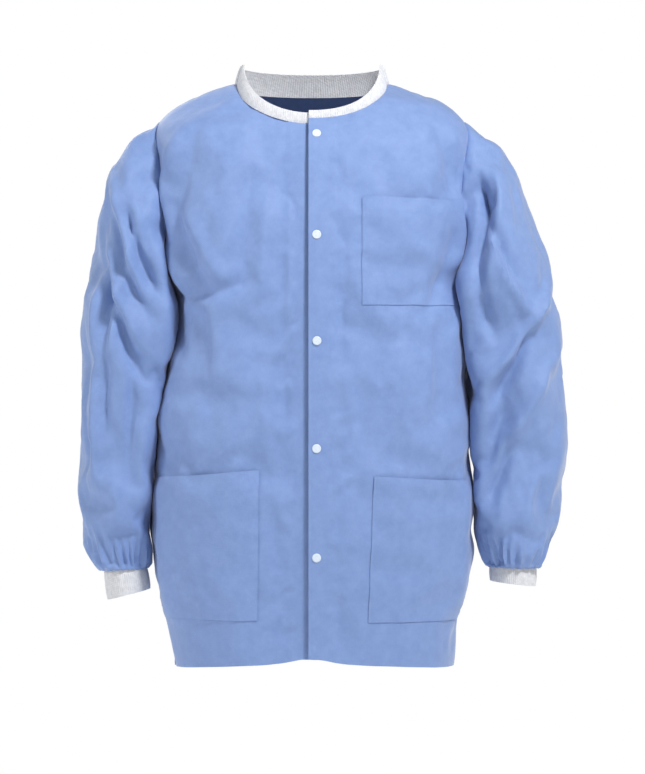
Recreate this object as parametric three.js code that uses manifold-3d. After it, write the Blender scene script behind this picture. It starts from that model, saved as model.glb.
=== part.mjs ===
// Hip-length disposable lab coat: light blue nonwoven fabric, white rib-knit collar and cuffs,
// five plastic snaps down the front, one chest pocket and two lower pockets.
// Millimetres, +Z up, the front faces -Y and the wearer's left is +X.
// The origin is between the wearer's shoulders, at the height of the points where neck and shoulder meet.
import * as THREE from "three";
import { mergeVertices } from "three/addons/utils/BufferGeometryUtils.js";
import Module from "manifold-3d";

const wasm = await Module();
wasm.setup();

// ---- driving dimensions; heights are above the hem until the coat is hung on its origin ----
const NECK_POINT_Z = 737; // where the shoulder seam meets the collar
const WALL = 2; // fabric wall
const FACING_WALL = 1; // the turned-back layer behind each front edge
const GAP = 0.45; // between pieces that are sewn or fixed to each other
const LAYER = 3.2; // how far a snap hole is cut past the layers it goes through

// Level sections of the body of the coat: height, half width, depth of front and of back, and
// how square the section is (2 is an ellipse).
const SECTIONS = [
  [0, 175, 131, 126, 2.1],
  [120, 198, 138, 131, 2.2],
  [240, 202, 145, 136, 2.3],
  [350, 198, 149, 140, 2.4],
  [470, 192, 151, 144, 2.6],
  [560, 196, 146, 143, 2.8],
  [640, 199, 130, 130, 2.8],
  [675, 198, 114, 112, 2.7],
  [700, 180, 93, 91, 2.5],
  [719, 150, 71, 74, 2.3],
  [737, 96, 42, 53, 2.1],
];

const NECK = { halfWidth: 95, frontDrop: 50, backDrop: 9 };
const ARMHOLE = { z: 593, halfHeight: 97, halfDepth: 66 };
const LEFT_EDGE_X = -4; // edge of the left front, which lies on top
const RIGHT_EDGE_X = 19; // edge of the right front, under it
const FACING_WIDTH = 35;
const FACING_INSET = 3; // from the hem and from the neckline

// Each front swings about a leaning axis 146 in front of the middle, 152 from it at the hem and 97
// at the neck. The split between what swings and what stays with the shoulder runs beside the axis
// up to the chest, then curves in to meet the neckline.
const SPLIT = { bottomX: 152, chestX: 125, chestZ: 470, neckX: 45, neckZ: 693 };
const SPLIT_GAP = 1.2; // half the gap along it
const POCKET_SPLIT_GAP = 2.2; // and where it crosses a pocket, which stands off the coat
const UNDERLAP_FADE = 72; // over this much x, beyond the facing, the right front comes up from under the left

// The sleeve lifts about an axis along Y; its head stays with the shoulder, inside this radius.
// The cut between them is made in a block that reaches past the sleeve on all sides.
const SHOULDER = { x: 208, z: 560, headRadius: 95, sleeveRadius: 97, cutBelow: 32, cutReach: 600, drumSides: 48 };

// Rings of the sleeve from the armhole down: x and z of its outer point, x and z of its inner
// point, y of its centre, and half its depth.
const SLEEVE_RINGS = [
  [198, 689, 197, 497, 0, 66],
  [232, 664, 201, 488, 2, 73],
  [258, 615, 202, 470, 4, 76],
  [276, 560, 203, 448, 6, 75],
  [290, 500, 204, 420, 8, 72],
  [300, 430, 205, 380, 8, 68],
  [304, 350, 207, 330, 6, 65],
  [307, 265, 208, 262, 2, 62],
  [303, 190, 210, 190, -3, 58],
  [284, 128, 214, 128, -8, 48],
];
const CUFF_RINGS = [
  [283, 127, 215, 127, -8, 46],
  [278, 106, 218, 106, -10, 40],
  [276, 86, 219, 86, -12, 38],
];
const CUFF_WALL = 3;

// The knit collar leans in as it rises, and its right end stops at endX, just behind its left end.
const COLLAR = { sideHeight: 22, frontHeight: 10, lean: 8, wall: 3, endX: 2 };

const CHEST_POCKET = { fromX: 62, toX: 180, fromZ: 455, toZ: 587 };
const LOWER_POCKET = { fromX: 68, toX: 192, fromZ: 64, toZ: 244 };
const POCKET_MOUTH = 12; // how far the mouth of a pocket stands off the coat
const POCKET_REACH = 0.955; // the furthest share of the half width that a pocket reaches
const POCKET_EDGE = 0.6; // and its sewn edges

const SNAP_X = 6;
const SNAP_HEIGHTS = [667, 541, 410, 277, 142];
const SNAP = {
  capRadius: 5.5,
  postRadius: 1.2,
  socketRadius: 4.2,
  socketHeight: 2.4,
  studRadius: 1.5,
  studBase: 0.5,
  clearance: 0.5,
};
const SNAP_SIDES = 8;

const BLUE = { color: 0x8fb0e6, roughness: 0.8, metalness: 0 };
const WHITE_KNIT = { color: 0xecedf0, roughness: 0.9, metalness: 0 };
const WHITE_PLASTIC = { color: 0xdfe9f8, roughness: 0.35, metalness: 0 };

// ---- the surface that the body of the coat is cut from ----

// Value of one column of a table of sections at a height, along a smooth curve through its rows.
function fromTable(table, z, column) {
  const rows = table[0][0] < table[table.length - 1][0] ? table : [...table].reverse();
  let i = 0;
  while (i < rows.length - 2 && z > rows[i + 1][0]) i++;
  const [low, high] = [rows[i], rows[i + 1]];
  const [before, after] = [rows[Math.max(i - 1, 0)], rows[Math.min(i + 2, rows.length - 1)]];
  const span = high[0] - low[0];
  const t = THREE.MathUtils.clamp((z - low[0]) / span, 0, 1);
  const slopeIn = ((high[column] - before[column]) / (high[0] - before[0])) * span;
  const slopeOut = ((after[column] - low[column]) / (after[0] - low[0])) * span;
  const [t2, t3] = [t * t, t * t * t];
  return (
    (2 * t3 - 3 * t2 + 1) * low[column] +
    (t3 - 2 * t2 + t) * slopeIn +
    (3 * t2 - 2 * t3) * high[column] +
    (t3 - t2) * slopeOut
  );
}

// Point of the body at an angle round it: 0 is the wearer's left side, -90 degrees the centre front.
function bodyPoint(angle, z) {
  const depth = fromTable(SECTIONS, z, Math.sin(angle) < 0 ? 2 : 3);
  const power = 2 / fromTable(SECTIONS, z, 4);
  const across = Math.sign(Math.cos(angle)) * Math.pow(Math.abs(Math.cos(angle)), power);
  const deep = Math.sign(Math.sin(angle)) * Math.pow(Math.abs(Math.sin(angle)), power);
  return new THREE.Vector3(fromTable(SECTIONS, z, 1) * across, depth * deep, z);
}

function offsetFrom(surface, a, b, distance) {
  const step = 1e-3;
  const origin = surface(a, b);
  const alongA = surface(a + step, b).sub(surface(a - step, b));
  const alongB = surface(a, b + 1).sub(surface(a, b - 1));
  const normal = alongA.cross(alongB).normalize();
  return origin.addScaledVector(normal, distance);
}

function frontAngle(x, z) {
  const share = THREE.MathUtils.clamp(x / fromTable(SECTIONS, z, 1), -1, 1);
  return -Math.acos(Math.sign(share) * Math.pow(Math.abs(share), fromTable(SECTIONS, z, 4) / 2));
}

// x of the split between the swinging front and the part of it that stays with the shoulder.
function splitX(z) {
  if (z < SPLIT.chestZ) return THREE.MathUtils.lerp(SPLIT.bottomX, SPLIT.chestX, z / SPLIT.chestZ);
  const share = (z - SPLIT.chestZ) / (SPLIT.neckZ - SPLIT.chestZ);
  return THREE.MathUtils.lerp(SPLIT.chestX, SPLIT.neckX, share * share);
}

// The neckline seen from the front is half an ellipse: height at a distance x from the centre, and back.
function frontNeckZ(x) {
  const share = THREE.MathUtils.clamp(Math.abs(x) / NECK.halfWidth, 0, 1);
  return NECK_POINT_Z - NECK.frontDrop * Math.sqrt(1 - share * share);
}

function frontNeckX(z) {
  const share = (NECK_POINT_Z - z) / NECK.frontDrop;
  return NECK.halfWidth * Math.sqrt(1 - share * share);
}

// Height of the neckline of the back, at a share from -1 to 1 across it.
function backNeckZ(share) {
  return NECK_POINT_Z - 1 - (NECK.backDrop - 1) * (1 - share * share);
}

// How far a front lies under the surface: the right front runs under the left one near the centre.
function depthAt(x, depth) {
  const share = THREE.MathUtils.clamp((x - FACING_WIDTH) / UNDERLAP_FADE, 0, 1);
  return depth * (1 - share * share * (3 - 2 * share));
}

// Angle of the edge that a front or the back is sewn along at the side: side seam, armhole, shoulder seam.
function sideEdgeAngle(z, depthColumn) {
  const share = (z - ARMHOLE.z) / ARMHOLE.halfHeight;
  if (Math.abs(share) >= 1) return 0;
  const depth = ARMHOLE.halfDepth * Math.sqrt(1 - share * share);
  return Math.asin(Math.pow(depth / fromTable(SECTIONS, z, depthColumn), fromTable(SECTIONS, z, 4) / 2));
}

// ---- closed solids ----

// A box of the given divisions whose three coordinates, 0 to 1, are carried to a point.
function warpedSlab(columns, rows, place) {
  const geometry = new THREE.BoxGeometry(1, 1, 1, columns, rows, 1);
  geometry.translate(0.5, 0.5, 0.5);
  geometry.deleteAttribute("normal");
  geometry.deleteAttribute("uv");
  const slab = mergeVertices(geometry, 1e-4);
  const corners = slab.attributes.position;
  for (let i = 0; i < corners.count; i++) {
    const p = place(corners.getX(i), corners.getY(i), corners.getZ(i));
    corners.setXYZ(i, p.x, p.y, p.z);
  }
  return slab;
}

function toSolid(geometry) {
  const bare = geometry.clone();
  bare.deleteAttribute("normal");
  bare.deleteAttribute("uv");
  const merged = mergeVertices(bare, 1e-3);
  const vertProperties = merged.attributes.position.array;
  const triVerts = new Uint32Array(merged.index.array);
  return new wasm.Manifold(new wasm.Mesh({ numProp: 3, vertProperties, triVerts }));
}

function toGeometry(solid) {
  const made = solid.getMesh();
  const geometry = new THREE.BufferGeometry();
  geometry.setAttribute("position", new THREE.BufferAttribute(new Float32Array(made.vertProperties), 3));
  geometry.setIndex(new THREE.BufferAttribute(new Uint32Array(made.triVerts), 1));
  return geometry;
}

// The other side's copy of a geometry, mirrored in x with its faces turned back out.
function mirrored(geometry) {
  const copy = geometry.clone().scale(-1, 1, 1);
  const index = copy.index.array;
  for (let i = 0; i < index.length; i += 3) [index[i + 1], index[i + 2]] = [index[i + 2], index[i + 1]];
  return copy;
}

const coat = new THREE.Group();
const hung = new THREE.Group();
hung.position.z = -NECK_POINT_Z;
coat.add(hung);

function addPiece(name, geometry, finish) {
  const mesh = new THREE.Mesh(geometry, new THREE.MeshStandardMaterial(finish));
  mesh.name = name;
  hung.add(mesh);
}

function addPair(name, geometry, finish) {
  addPiece(name + "_left", geometry, finish);
  addPiece(name + "_right", mirrored(geometry), finish);
}

// ---- body panels ----

const FRONT_ROWS = 18;
const FRONT_SHOULDER_TOP_Z = 730; // just under the neck point, so that it ends in an edge and not in a point

// Spreads the rows of a panel so that they lie closer together where it curves, towards the shoulder.
function closerToTop(v) {
  return 1 - Math.pow(1 - v, 1.6);
}

const SEAM_ANGLE = 0.004; // half the gap of a side seam, in radians round the body

function backPanel() {
  return warpedSlab(20, 14, (u, v, w) => {
    const z = closerToTop(v) * backNeckZ(2 * u - 1);
    const edge = sideEdgeAngle(z, 3) + SEAM_ANGLE;
    return offsetFrom(bodyPoint, THREE.MathUtils.lerp(edge, Math.PI - edge, u), z, (w - 0.5) * WALL);
  });
}

// The part of a front that stays still: from the split to the side seam, armhole and shoulder seam.
function frontShoulder() {
  return warpedSlab(5, FRONT_ROWS, (u, v, w) => {
    const z = closerToTop(v) * FRONT_SHOULDER_TOP_Z;
    const innerX = z < SPLIT.neckZ ? splitX(z) + SPLIT_GAP : frontNeckX(z) + WALL;
    const outer = -sideEdgeAngle(z, 2) - SEAM_ANGLE;
    const angle = THREE.MathUtils.lerp(frontAngle(innerX, z), outer, u);
    return offsetFrom(bodyPoint, angle, z, (w - 0.5) * WALL);
  });
}

// A swinging front from its centre edge to the split.
function frontPanel(edgeX, depth) {
  return warpedSlab(7, FRONT_ROWS, (u, v, w) => {
    const z = closerToTop(v) * frontNeckZ(THREE.MathUtils.lerp(edgeX, SPLIT.neckX, u));
    const x = THREE.MathUtils.lerp(edgeX, splitX(z) - SPLIT_GAP, u);
    return offsetFrom(bodyPoint, frontAngle(x, z), z, (w - 0.5) * WALL - depthAt(x, depth));
  });
}

// The turned-back layer behind the edge of a front.
function facing(edgeX, depth) {
  return warpedSlab(3, FRONT_ROWS, (u, v, w) => {
    const x = THREE.MathUtils.lerp(edgeX, edgeX + FACING_WIDTH, u);
    const neckZ = frontNeckZ(x);
    const z = THREE.MathUtils.clamp(closerToTop(v) * neckZ, FACING_INSET, neckZ - FACING_INSET);
    return offsetFrom(bodyPoint, frontAngle(x, z), z, (w - 0.5) * FACING_WALL - depth);
  });
}

// ---- snaps ----

// A round piece turned about the normal of the front at a snap, from [distance out, radius] steps.
function snapPiece(height, steps) {
  const profile = steps.map(([out, radius]) => new THREE.Vector2(radius, out));
  const geometry = new THREE.LatheGeometry(profile, SNAP_SIDES);
  const angle = frontAngle(SNAP_X, height);
  const seat = offsetFrom(bodyPoint, angle, height, 0);
  const normal = offsetFrom(bodyPoint, angle, height, 1).sub(seat);
  geometry.applyQuaternion(new THREE.Quaternion().setFromUnitVectors(new THREE.Vector3(0, 1, 0), normal));
  return geometry.translate(seat.x, seat.y, seat.z);
}

// A layer of fabric with a round hole at each snap.
function pierced(geometry, outside) {
  const radius = SNAP.postRadius + GAP;
  const inside = outside - 2 * LAYER;
  let solid = toSolid(geometry);
  for (const height of SNAP_HEIGHTS) {
    const drill = snapPiece(height, [[inside, 0], [inside, radius], [outside, radius], [outside, 0]]);
    solid = solid.subtract(toSolid(drill));
  }
  return toGeometry(solid);
}

// Distances out from the surface of the coat to each layer at a snap.
const CAP_FACE = WALL / 2 + GAP;
const LEFT_FACING_DEPTH = WALL / 2 + GAP + FACING_WALL / 2;
const SOCKET_TOP = -LEFT_FACING_DEPTH - FACING_WALL / 2 - GAP;
const SOCKET_FOOT = SOCKET_TOP - SNAP.socketHeight;
const STUD_SEAT = SOCKET_FOOT - GAP - SNAP.studBase;
const RIGHT_DEPTH = -STUD_SEAT + GAP + WALL / 2;
const RIGHT_FACING_DEPTH = RIGHT_DEPTH + WALL / 2 + GAP + FACING_WALL / 2;
const POST_FACE = -RIGHT_FACING_DEPTH - FACING_WALL / 2 - GAP;

function capSteps() {
  const { capRadius, postRadius } = SNAP;
  const foot = SOCKET_TOP + 0.2;
  return [[foot, 0], [foot, postRadius], [CAP_FACE, postRadius], [CAP_FACE, capRadius - 0.3],
    [CAP_FACE + 0.7, capRadius], [CAP_FACE + 1.5, capRadius - 1.3], [CAP_FACE + 1.9, 2.2], [CAP_FACE + 2, 0]];
}

function socketSteps() {
  const { socketRadius, studRadius, clearance } = SNAP;
  const recess = studRadius + clearance;
  return [[SOCKET_TOP - 0.8, 0], [SOCKET_TOP - 1, recess], [SOCKET_FOOT, recess], [SOCKET_FOOT, socketRadius],
    [SOCKET_TOP - 0.5, socketRadius + 0.4], [SOCKET_TOP, socketRadius], [SOCKET_TOP, 0]];
}

function studSteps() {
  const { socketRadius, studRadius, studBase } = SNAP;
  return [[STUD_SEAT, 0], [STUD_SEAT, socketRadius], [STUD_SEAT + studBase, socketRadius - 0.4],
    [STUD_SEAT + studBase, studRadius], [STUD_SEAT + 1.7, studRadius], [STUD_SEAT + 2, 0.8], [STUD_SEAT + 2, 0]];
}

function postSteps() {
  const { capRadius, postRadius } = SNAP;
  const tip = STUD_SEAT - 0.2;
  return [[POST_FACE - 1.4, 0], [POST_FACE - 1.2, 3], [POST_FACE - 0.5, capRadius - 0.3],
    [POST_FACE, capRadius - 0.5], [POST_FACE, postRadius], [tip, postRadius], [tip, 0]];
}

function addSnaps() {
  SNAP_HEIGHTS.forEach((height, i) => {
    addPiece("snap_cap_" + (i + 1), snapPiece(height, capSteps()), WHITE_PLASTIC);
    addPiece("snap_socket_" + (i + 1), snapPiece(height, socketSteps()), WHITE_PLASTIC);
    addPiece("snap_stud_" + (i + 1), snapPiece(height, studSteps()), WHITE_PLASTIC);
    addPiece("snap_post_" + (i + 1), snapPiece(height, postSteps()), WHITE_PLASTIC);
  });
}

// ---- pockets ----

// Part of a pocket, between two functions of height; it stands off the coat more towards its mouth.
function pocketPart(size, fromX, toX, columns) {
  const middle = (size.fromX + size.toX) / 2;
  const half = (size.toX - size.fromX) / 2;
  return warpedSlab(columns, 6, (u, v, w) => {
    const z = THREE.MathUtils.lerp(size.fromZ, size.toZ, v);
    const x = THREE.MathUtils.lerp(fromX(z), toX(z), u);
    const across = THREE.MathUtils.clamp((1 - Math.abs(x - middle) / half) * 4, 0, 1);
    const stand = POCKET_EDGE + (POCKET_MOUTH - POCKET_EDGE) * Math.min(1, v * 3) * across;
    return offsetFrom(bodyPoint, frontAngle(x, z), z, w * WALL + WALL / 2 + stand);
  });
}

function innerPocket(size) {
  return pocketPart(size, () => size.fromX, (z) => splitX(z) - POCKET_SPLIT_GAP, 4);
}

function outerPocket(size) {
  const edge = (z) => Math.min(size.toX, POCKET_REACH * fromTable(SECTIONS, z, 1));
  return pocketPart(size, (z) => splitX(z) + POCKET_SPLIT_GAP, edge, 4);
}

// ---- sleeves and cuffs ----

// A tube through a list of rings, open along a hairline on its inner side, where its seam is.
function ringTube(rings, columns, rows, wall) {
  const table = rings.map((ring, i) => [i, ...ring]);
  const last = rings.length - 1;
  const surface = (angle, along) => {
    const ring = [1, 2, 3, 4, 5, 6].map((column) => fromTable(table, along, column));
    const [outerX, outerZ, innerX, innerZ, y, depth] = ring;
    const across = (1 + Math.cos(angle)) / 2;
    const x = THREE.MathUtils.lerp(innerX, outerX, across);
    return new THREE.Vector3(x, y + depth * Math.sin(angle), THREE.MathUtils.lerp(innerZ, outerZ, across));
  };
  const hairline = 0.006;
  return warpedSlab(columns, rows, (u, v, w) => {
    const angle = THREE.MathUtils.lerp(-Math.PI + hairline, Math.PI - hairline, u);
    const along = (1 - v) * last;
    const step = 1e-2;
    const point = surface(angle, along);
    const round = surface(angle + step, along).sub(surface(angle - step, along));
    const up = surface(angle, along - step).sub(surface(angle, along + step));
    return point.addScaledVector(round.cross(up).normalize(), (w - 0.5) * wall);
  });
}

// All that lies under the shoulder and outside a drum about the axis that the sleeve lifts about.
function beyondDrum(radius) {
  const { x, z, cutBelow, cutReach, drumSides } = SHOULDER;
  const drum = new THREE.CylinderGeometry(radius, radius, cutReach, drumSides).translate(x, 0, z);
  const below = new THREE.BoxGeometry(cutReach, cutReach, cutReach);
  below.translate(x, 0, z - cutBelow - cutReach / 2);
  return toSolid(below).subtract(toSolid(drum));
}

function addSleeves() {
  const whole = toSolid(ringTube(SLEEVE_RINGS, 16, 18, WALL));
  addPair("sleeve_head", toGeometry(whole.subtract(beyondDrum(SHOULDER.headRadius))), BLUE);
  addPair("sleeve", toGeometry(whole.intersect(beyondDrum(SHOULDER.sleeveRadius))), BLUE);
  addPair("cuff", ringTube(CUFF_RINGS, 16, 2, CUFF_WALL), WHITE_KNIT);
}

// ---- collar ----

// Point of the neckline at an angle round it: 0 is the centre front, 90 degrees the wearer's left.
function neckPoint(turn, depth, outward) {
  const quarter = Math.PI / 2;
  const side = turn > 3 * quarter ? -1 : 1;
  if (turn >= quarter && turn <= 3 * quarter) {
    const angle = turn - quarter;
    return offsetFrom(bodyPoint, angle, backNeckZ((2 * angle) / Math.PI - 1), outward);
  }
  const x = NECK.halfWidth * Math.sin(side * turn);
  const z = NECK_POINT_Z - NECK.frontDrop * Math.cos(turn);
  const point = offsetFrom(bodyPoint, frontAngle(x, z), z, outward - depth);
  point.x *= side;
  return point;
}

// A knit band that stands on the neckline and leans in, taller at the sides than at the front.
function collarBand(fromTurn, toTurn, columns, depth) {
  return warpedSlab(columns, 2, (u, v, w) => {
    const turn = THREE.MathUtils.lerp(fromTurn, toTurn, u);
    const foot = neckPoint(turn, depth, 0);
    const away = new THREE.Vector3(foot.x, foot.y, 0).normalize();
    const atSide = (1 - Math.cos(turn)) / 2;
    const height = THREE.MathUtils.lerp(COLLAR.frontHeight, COLLAR.sideHeight, Math.min(1, atSide * 2));
    foot.z += WALL + GAP + v * height;
    return foot.addScaledVector(away, (w - 0.5) * COLLAR.wall - v * COLLAR.lean);
  });
}

const SPLIT_TURN = Math.asin(SPLIT.neckX / NECK.halfWidth);
const TURN_GAP = 0.015;

function collarBack() {
  return collarBand(SPLIT_TURN + TURN_GAP, 2 * Math.PI - SPLIT_TURN - TURN_GAP, 24, 0);
}

function collarFront(edgeX, depth) {
  return collarBand(Math.asin(edgeX / NECK.halfWidth), SPLIT_TURN - TURN_GAP, 5, depth);
}

// ---- the coat ----

addPiece("back_panel", backPanel(), BLUE);
addPair("front_shoulder", frontShoulder(), BLUE);
addPiece("front_panel_left", pierced(frontPanel(LEFT_EDGE_X, 0), LAYER), BLUE);
addPiece("front_panel_right", pierced(mirrored(frontPanel(-RIGHT_EDGE_X, RIGHT_DEPTH)), STUD_SEAT), BLUE);
addPiece("facing_left", pierced(facing(LEFT_EDGE_X, LEFT_FACING_DEPTH), LAYER), BLUE);
addPiece("facing_right", pierced(mirrored(facing(-RIGHT_EDGE_X, RIGHT_FACING_DEPTH)), STUD_SEAT), BLUE);
addPiece("chest_pocket_inner", innerPocket(CHEST_POCKET), BLUE);
addPiece("chest_pocket_outer", outerPocket(CHEST_POCKET), BLUE);
addPair("lower_pocket_inner", innerPocket(LOWER_POCKET), BLUE);
addPair("lower_pocket_outer", outerPocket(LOWER_POCKET), BLUE);
addSleeves();
addPiece("collar_back", collarBack(), WHITE_KNIT);
addPiece("collar_front_left", collarFront(LEFT_EDGE_X, 0), WHITE_KNIT);
addPiece("collar_front_right", mirrored(collarFront(-COLLAR.endX, RIGHT_DEPTH)), WHITE_KNIT);
addSnaps();

export default coat;
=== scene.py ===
# %% [markdown]
# # A disposable lab coat
#
# The coat is light blue nonwoven cloth with a white rib-knit collar and cuffs, five snaps and three
# pockets. It hangs as if an unseen person wore it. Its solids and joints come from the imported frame, and
# this lesson makes the cloth that is seen around them: one piece for each piece that is cut and sewn.

# %% Load the frame
import math
import bpy
import numpy as np
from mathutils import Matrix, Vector


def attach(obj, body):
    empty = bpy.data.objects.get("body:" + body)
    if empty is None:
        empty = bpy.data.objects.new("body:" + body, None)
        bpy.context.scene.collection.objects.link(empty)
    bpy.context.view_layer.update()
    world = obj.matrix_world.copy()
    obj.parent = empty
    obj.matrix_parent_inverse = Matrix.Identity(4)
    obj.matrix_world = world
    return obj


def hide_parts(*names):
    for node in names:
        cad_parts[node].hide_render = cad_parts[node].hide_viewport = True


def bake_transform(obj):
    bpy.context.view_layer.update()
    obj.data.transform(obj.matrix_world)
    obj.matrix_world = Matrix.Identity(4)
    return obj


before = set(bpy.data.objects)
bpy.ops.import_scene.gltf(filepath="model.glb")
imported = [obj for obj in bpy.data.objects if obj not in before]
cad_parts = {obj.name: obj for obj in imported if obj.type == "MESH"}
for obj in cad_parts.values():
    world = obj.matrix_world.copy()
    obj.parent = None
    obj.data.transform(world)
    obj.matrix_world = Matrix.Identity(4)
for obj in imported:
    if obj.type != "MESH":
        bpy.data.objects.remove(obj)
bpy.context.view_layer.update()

bpy.ops.object.select_all(action="DESELECT")

# %% [markdown]
# ## Camera, floor and light
#
# The coat is seen level from the front, from far away, so the camera stands 5 m off with a long lens.
# Clothes in a studio are lit by large soft boxes, so the world is white near the horizon and below it
# and dimmer above, and one lamp stands at the upper front to bring out the folds. The floor glows a
# little, as a lit white sweep does.

# %% Camera
CAMERA_SPOT = (0.0133, -5.0, -0.384)
FRAME_HEIGHT = 0.983  # metres seen from top to bottom where the coat hangs
SENSOR = 36.0

camera_data = bpy.data.cameras.new("camera")
camera_data.sensor_width = SENSOR
camera_data.lens = SENSOR * abs(CAMERA_SPOT[1]) / FRAME_HEIGHT
camera = bpy.data.objects.new("camera", camera_data)
camera.location = CAMERA_SPOT
camera.rotation_euler = (math.pi / 2, 0, 0)
bpy.context.scene.collection.objects.link(camera)
bpy.context.scene.camera = camera
bpy.context.scene.view_settings.view_transform = "Standard"
print("lens", round(camera_data.lens, 1), "mm")

# %% Floor
bpy.ops.mesh.primitive_circle_add(vertices=96, radius=6.0, fill_type="NGON", location=(0, 0, -1.5))
floor = bpy.context.object
floor.name = "studio_floor"
pale = bpy.data.materials.new("pale_floor")
pale.use_nodes = True
for socket, value in (("Base Color", (0.86, 0.87, 0.88, 1)), ("Roughness", 0.9),
                      ("Emission Color", (1, 1, 1, 1)), ("Emission Strength", 0.4)):
    pale.node_tree.nodes["Principled BSDF"].inputs[socket].default_value = value
floor.data.materials.append(pale)

# %% World, white near the horizon and dimmer above
WORLD_HORIZON, WORLD_ZENITH = 1.0, 0.12  # brightness at the horizon and overhead
FADE_START, FADE_END = 0.12, 0.3  # sines of the heights between which it fades

world = bpy.data.worlds.new("studio")
bpy.context.scene.world = world
world.use_nodes = True
tree = world.node_tree
coordinate = tree.nodes.new("ShaderNodeTexCoord")
parts = tree.nodes.new("ShaderNodeSeparateXYZ")
fade = tree.nodes.new("ShaderNodeMapRange")
for socket, value in (("From Min", FADE_START), ("From Max", FADE_END),
                      ("To Min", WORLD_HORIZON), ("To Max", WORLD_ZENITH)):
    fade.inputs[socket].default_value = value
tree.links.new(coordinate.outputs["Generated"], parts.inputs[0])
tree.links.new(parts.outputs["Z"], fade.inputs["Value"])
tree.links.new(fade.outputs[0], tree.nodes["Background"].inputs["Strength"])
tree.nodes["Background"].inputs["Color"].default_value = (1, 1, 1, 1)
print("world", WORLD_HORIZON, "at the horizon,", WORLD_ZENITH, "overhead")


# %% Lamps
def soft_box(name, spot, aim, size, watts):
    """A square lamp at a spot, turned towards the point it aims at."""
    data = bpy.data.lights.new(name, "AREA")
    data.size, data.energy = size, watts
    lamp = bpy.data.objects.new(name, data)
    lamp.location = spot
    lamp.rotation_euler = (Vector(aim) - Vector(spot)).to_track_quat("-Z", "Y").to_euler()
    bpy.context.scene.collection.objects.link(lamp)


soft_box("key_lamp", (1.15, -1.7, 1.9), (0.02, 0, -0.2), 0.5, 92)
soft_box("side_lamp", (-2.9, -1.0, 0.8), (0, 0, -0.3), 0.7, 34)
soft_box("back_lamp", (-1.6, 2.8, 1.6), (0, 0, -0.3), 1.4, 40)
print("three soft boxes")

# %% [markdown]
# ## The surface that the coat is cut from
#
# A worn coat is close to a stack of level sections: rounded boxes that are wide at the hips and chest
# and shrink quickly over the shoulders. Every panel, pocket and facing lies on this one surface, so
# edges that are sewn together meet exactly. A place on it is given by how far round it is (0 at the
# centre front, 1 at the side, 2 at the centre back, negative on the wearer's right) and its height
# above the hem.

# %% Sections of the body
HEM_Z = -0.737  # height of the hem in the frame
NECK_TOP = 0.737  # height of the shoulder seam's inner end above the hem

# height, half width, depth of the front, depth of the back, squareness (2 is an ellipse)
SECTIONS = np.array([
    [0, 176, 131, 126, 2.1], [60, 184, 134, 128, 2.15], [120, 199, 138, 131, 2.2],
    [180, 204, 142, 134, 2.25], [240, 203, 145, 136, 2.3], [320, 196, 148, 139, 2.4],
    [400, 184, 150, 142, 2.5], [470, 177, 150, 144, 2.6], [520, 184, 149, 144, 2.75],
    [570, 193, 145, 142, 2.8], [640, 199, 130, 130, 2.8], [675, 198, 114, 112, 2.7], [700, 180, 93, 91, 2.5],
    [719, 150, 71, 74, 2.3], [737, 96, 42, 53, 2.1]])
SECTIONS[:, :4] /= 1000


SWELL, SWELL_Z, SWELL_REACH = 0.08, 0.435, 0.085  # the wearer's left half is wider under the arm


def side_swell(z, left):
    """How many times wider than listed a half of the body is at a height."""
    return 1 + SWELL * np.where(left, np.exp(-((z - SWELL_Z) / SWELL_REACH) ** 2), 0)


def along_table(table, at):
    """The columns of a table at places given by its first column, on a smooth curve through its rows."""
    t, rows = table[:, 0], table[:, 1:]
    last = len(t) - 1
    before, after = np.maximum(np.arange(last + 1) - 1, 0), np.minimum(np.arange(last + 1) + 1, last)
    slope = (rows[after] - rows[before]) / (t[after] - t[before])[:, None]
    at = np.clip(np.asarray(at, float), t[0], t[-1])
    i = np.clip(np.searchsorted(t, at, "right") - 1, 0, last - 1)
    span = (t[i + 1] - t[i])[..., None]
    s = ((at - t[i])[..., None]) / span
    return ((2 * s**3 - 3 * s**2 + 1) * rows[i] + (s**3 - 2 * s**2 + s) * slope[i] * span
            + (3 * s**2 - 2 * s**3) * rows[i + 1] + (s**3 - s**2) * slope[i + 1] * span)


def on_section(turn, z, back):
    """Point of a quarter section; turn goes from 0 in the middle to 90 degrees at the side."""
    half, front_depth, back_depth, square = np.moveaxis(along_table(SECTIONS, z), -1, 0)
    depth = np.where(back, back_depth, -front_depth)
    across = np.clip(np.sin(turn), 0, 1) ** (2 / square)
    return half * across, depth * np.clip(np.cos(turn), 0, 1) ** (2 / square)


# %% Equal steps round the body
LEVELS = np.linspace(0, NECK_TOP, 221)
SHARES = np.linspace(0, 1, 121)
TURNS = (1 - np.cos(np.linspace(0, np.pi, 241))) * np.pi / 4


def shares_at_level(z, back):
    """How far round the quarter each of TURNS is, by length."""
    x, y = on_section(TURNS, np.full(len(TURNS), z), back)
    run = np.concatenate([[0], np.cumsum(np.hypot(np.diff(x), np.diff(y)))])
    return run / run[-1], run[-1]


TURN_TABLES = {}
for back in (False, True):
    TURN_TABLES[back] = np.array([np.interp(SHARES, shares_at_level(z, back)[0], TURNS) for z in LEVELS])
print("turn tables", TURN_TABLES[False].shape)


def looked_up(table, share, z):
    """A value between the entries of a table by level and share."""
    i = np.clip(z / NECK_TOP * (len(LEVELS) - 1), 0, len(LEVELS) - 1.001)
    j = np.clip(share * (len(SHARES) - 1), 0, len(SHARES) - 1.001)
    i0, j0 = i.astype(int), j.astype(int)
    fi, fj = i - i0, j - j0
    return ((1 - fi) * (1 - fj) * table[i0, j0] + (1 - fi) * fj * table[i0, j0 + 1]
            + fi * (1 - fj) * table[i0 + 1, j0] + fi * fj * table[i0 + 1, j0 + 1])


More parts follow.
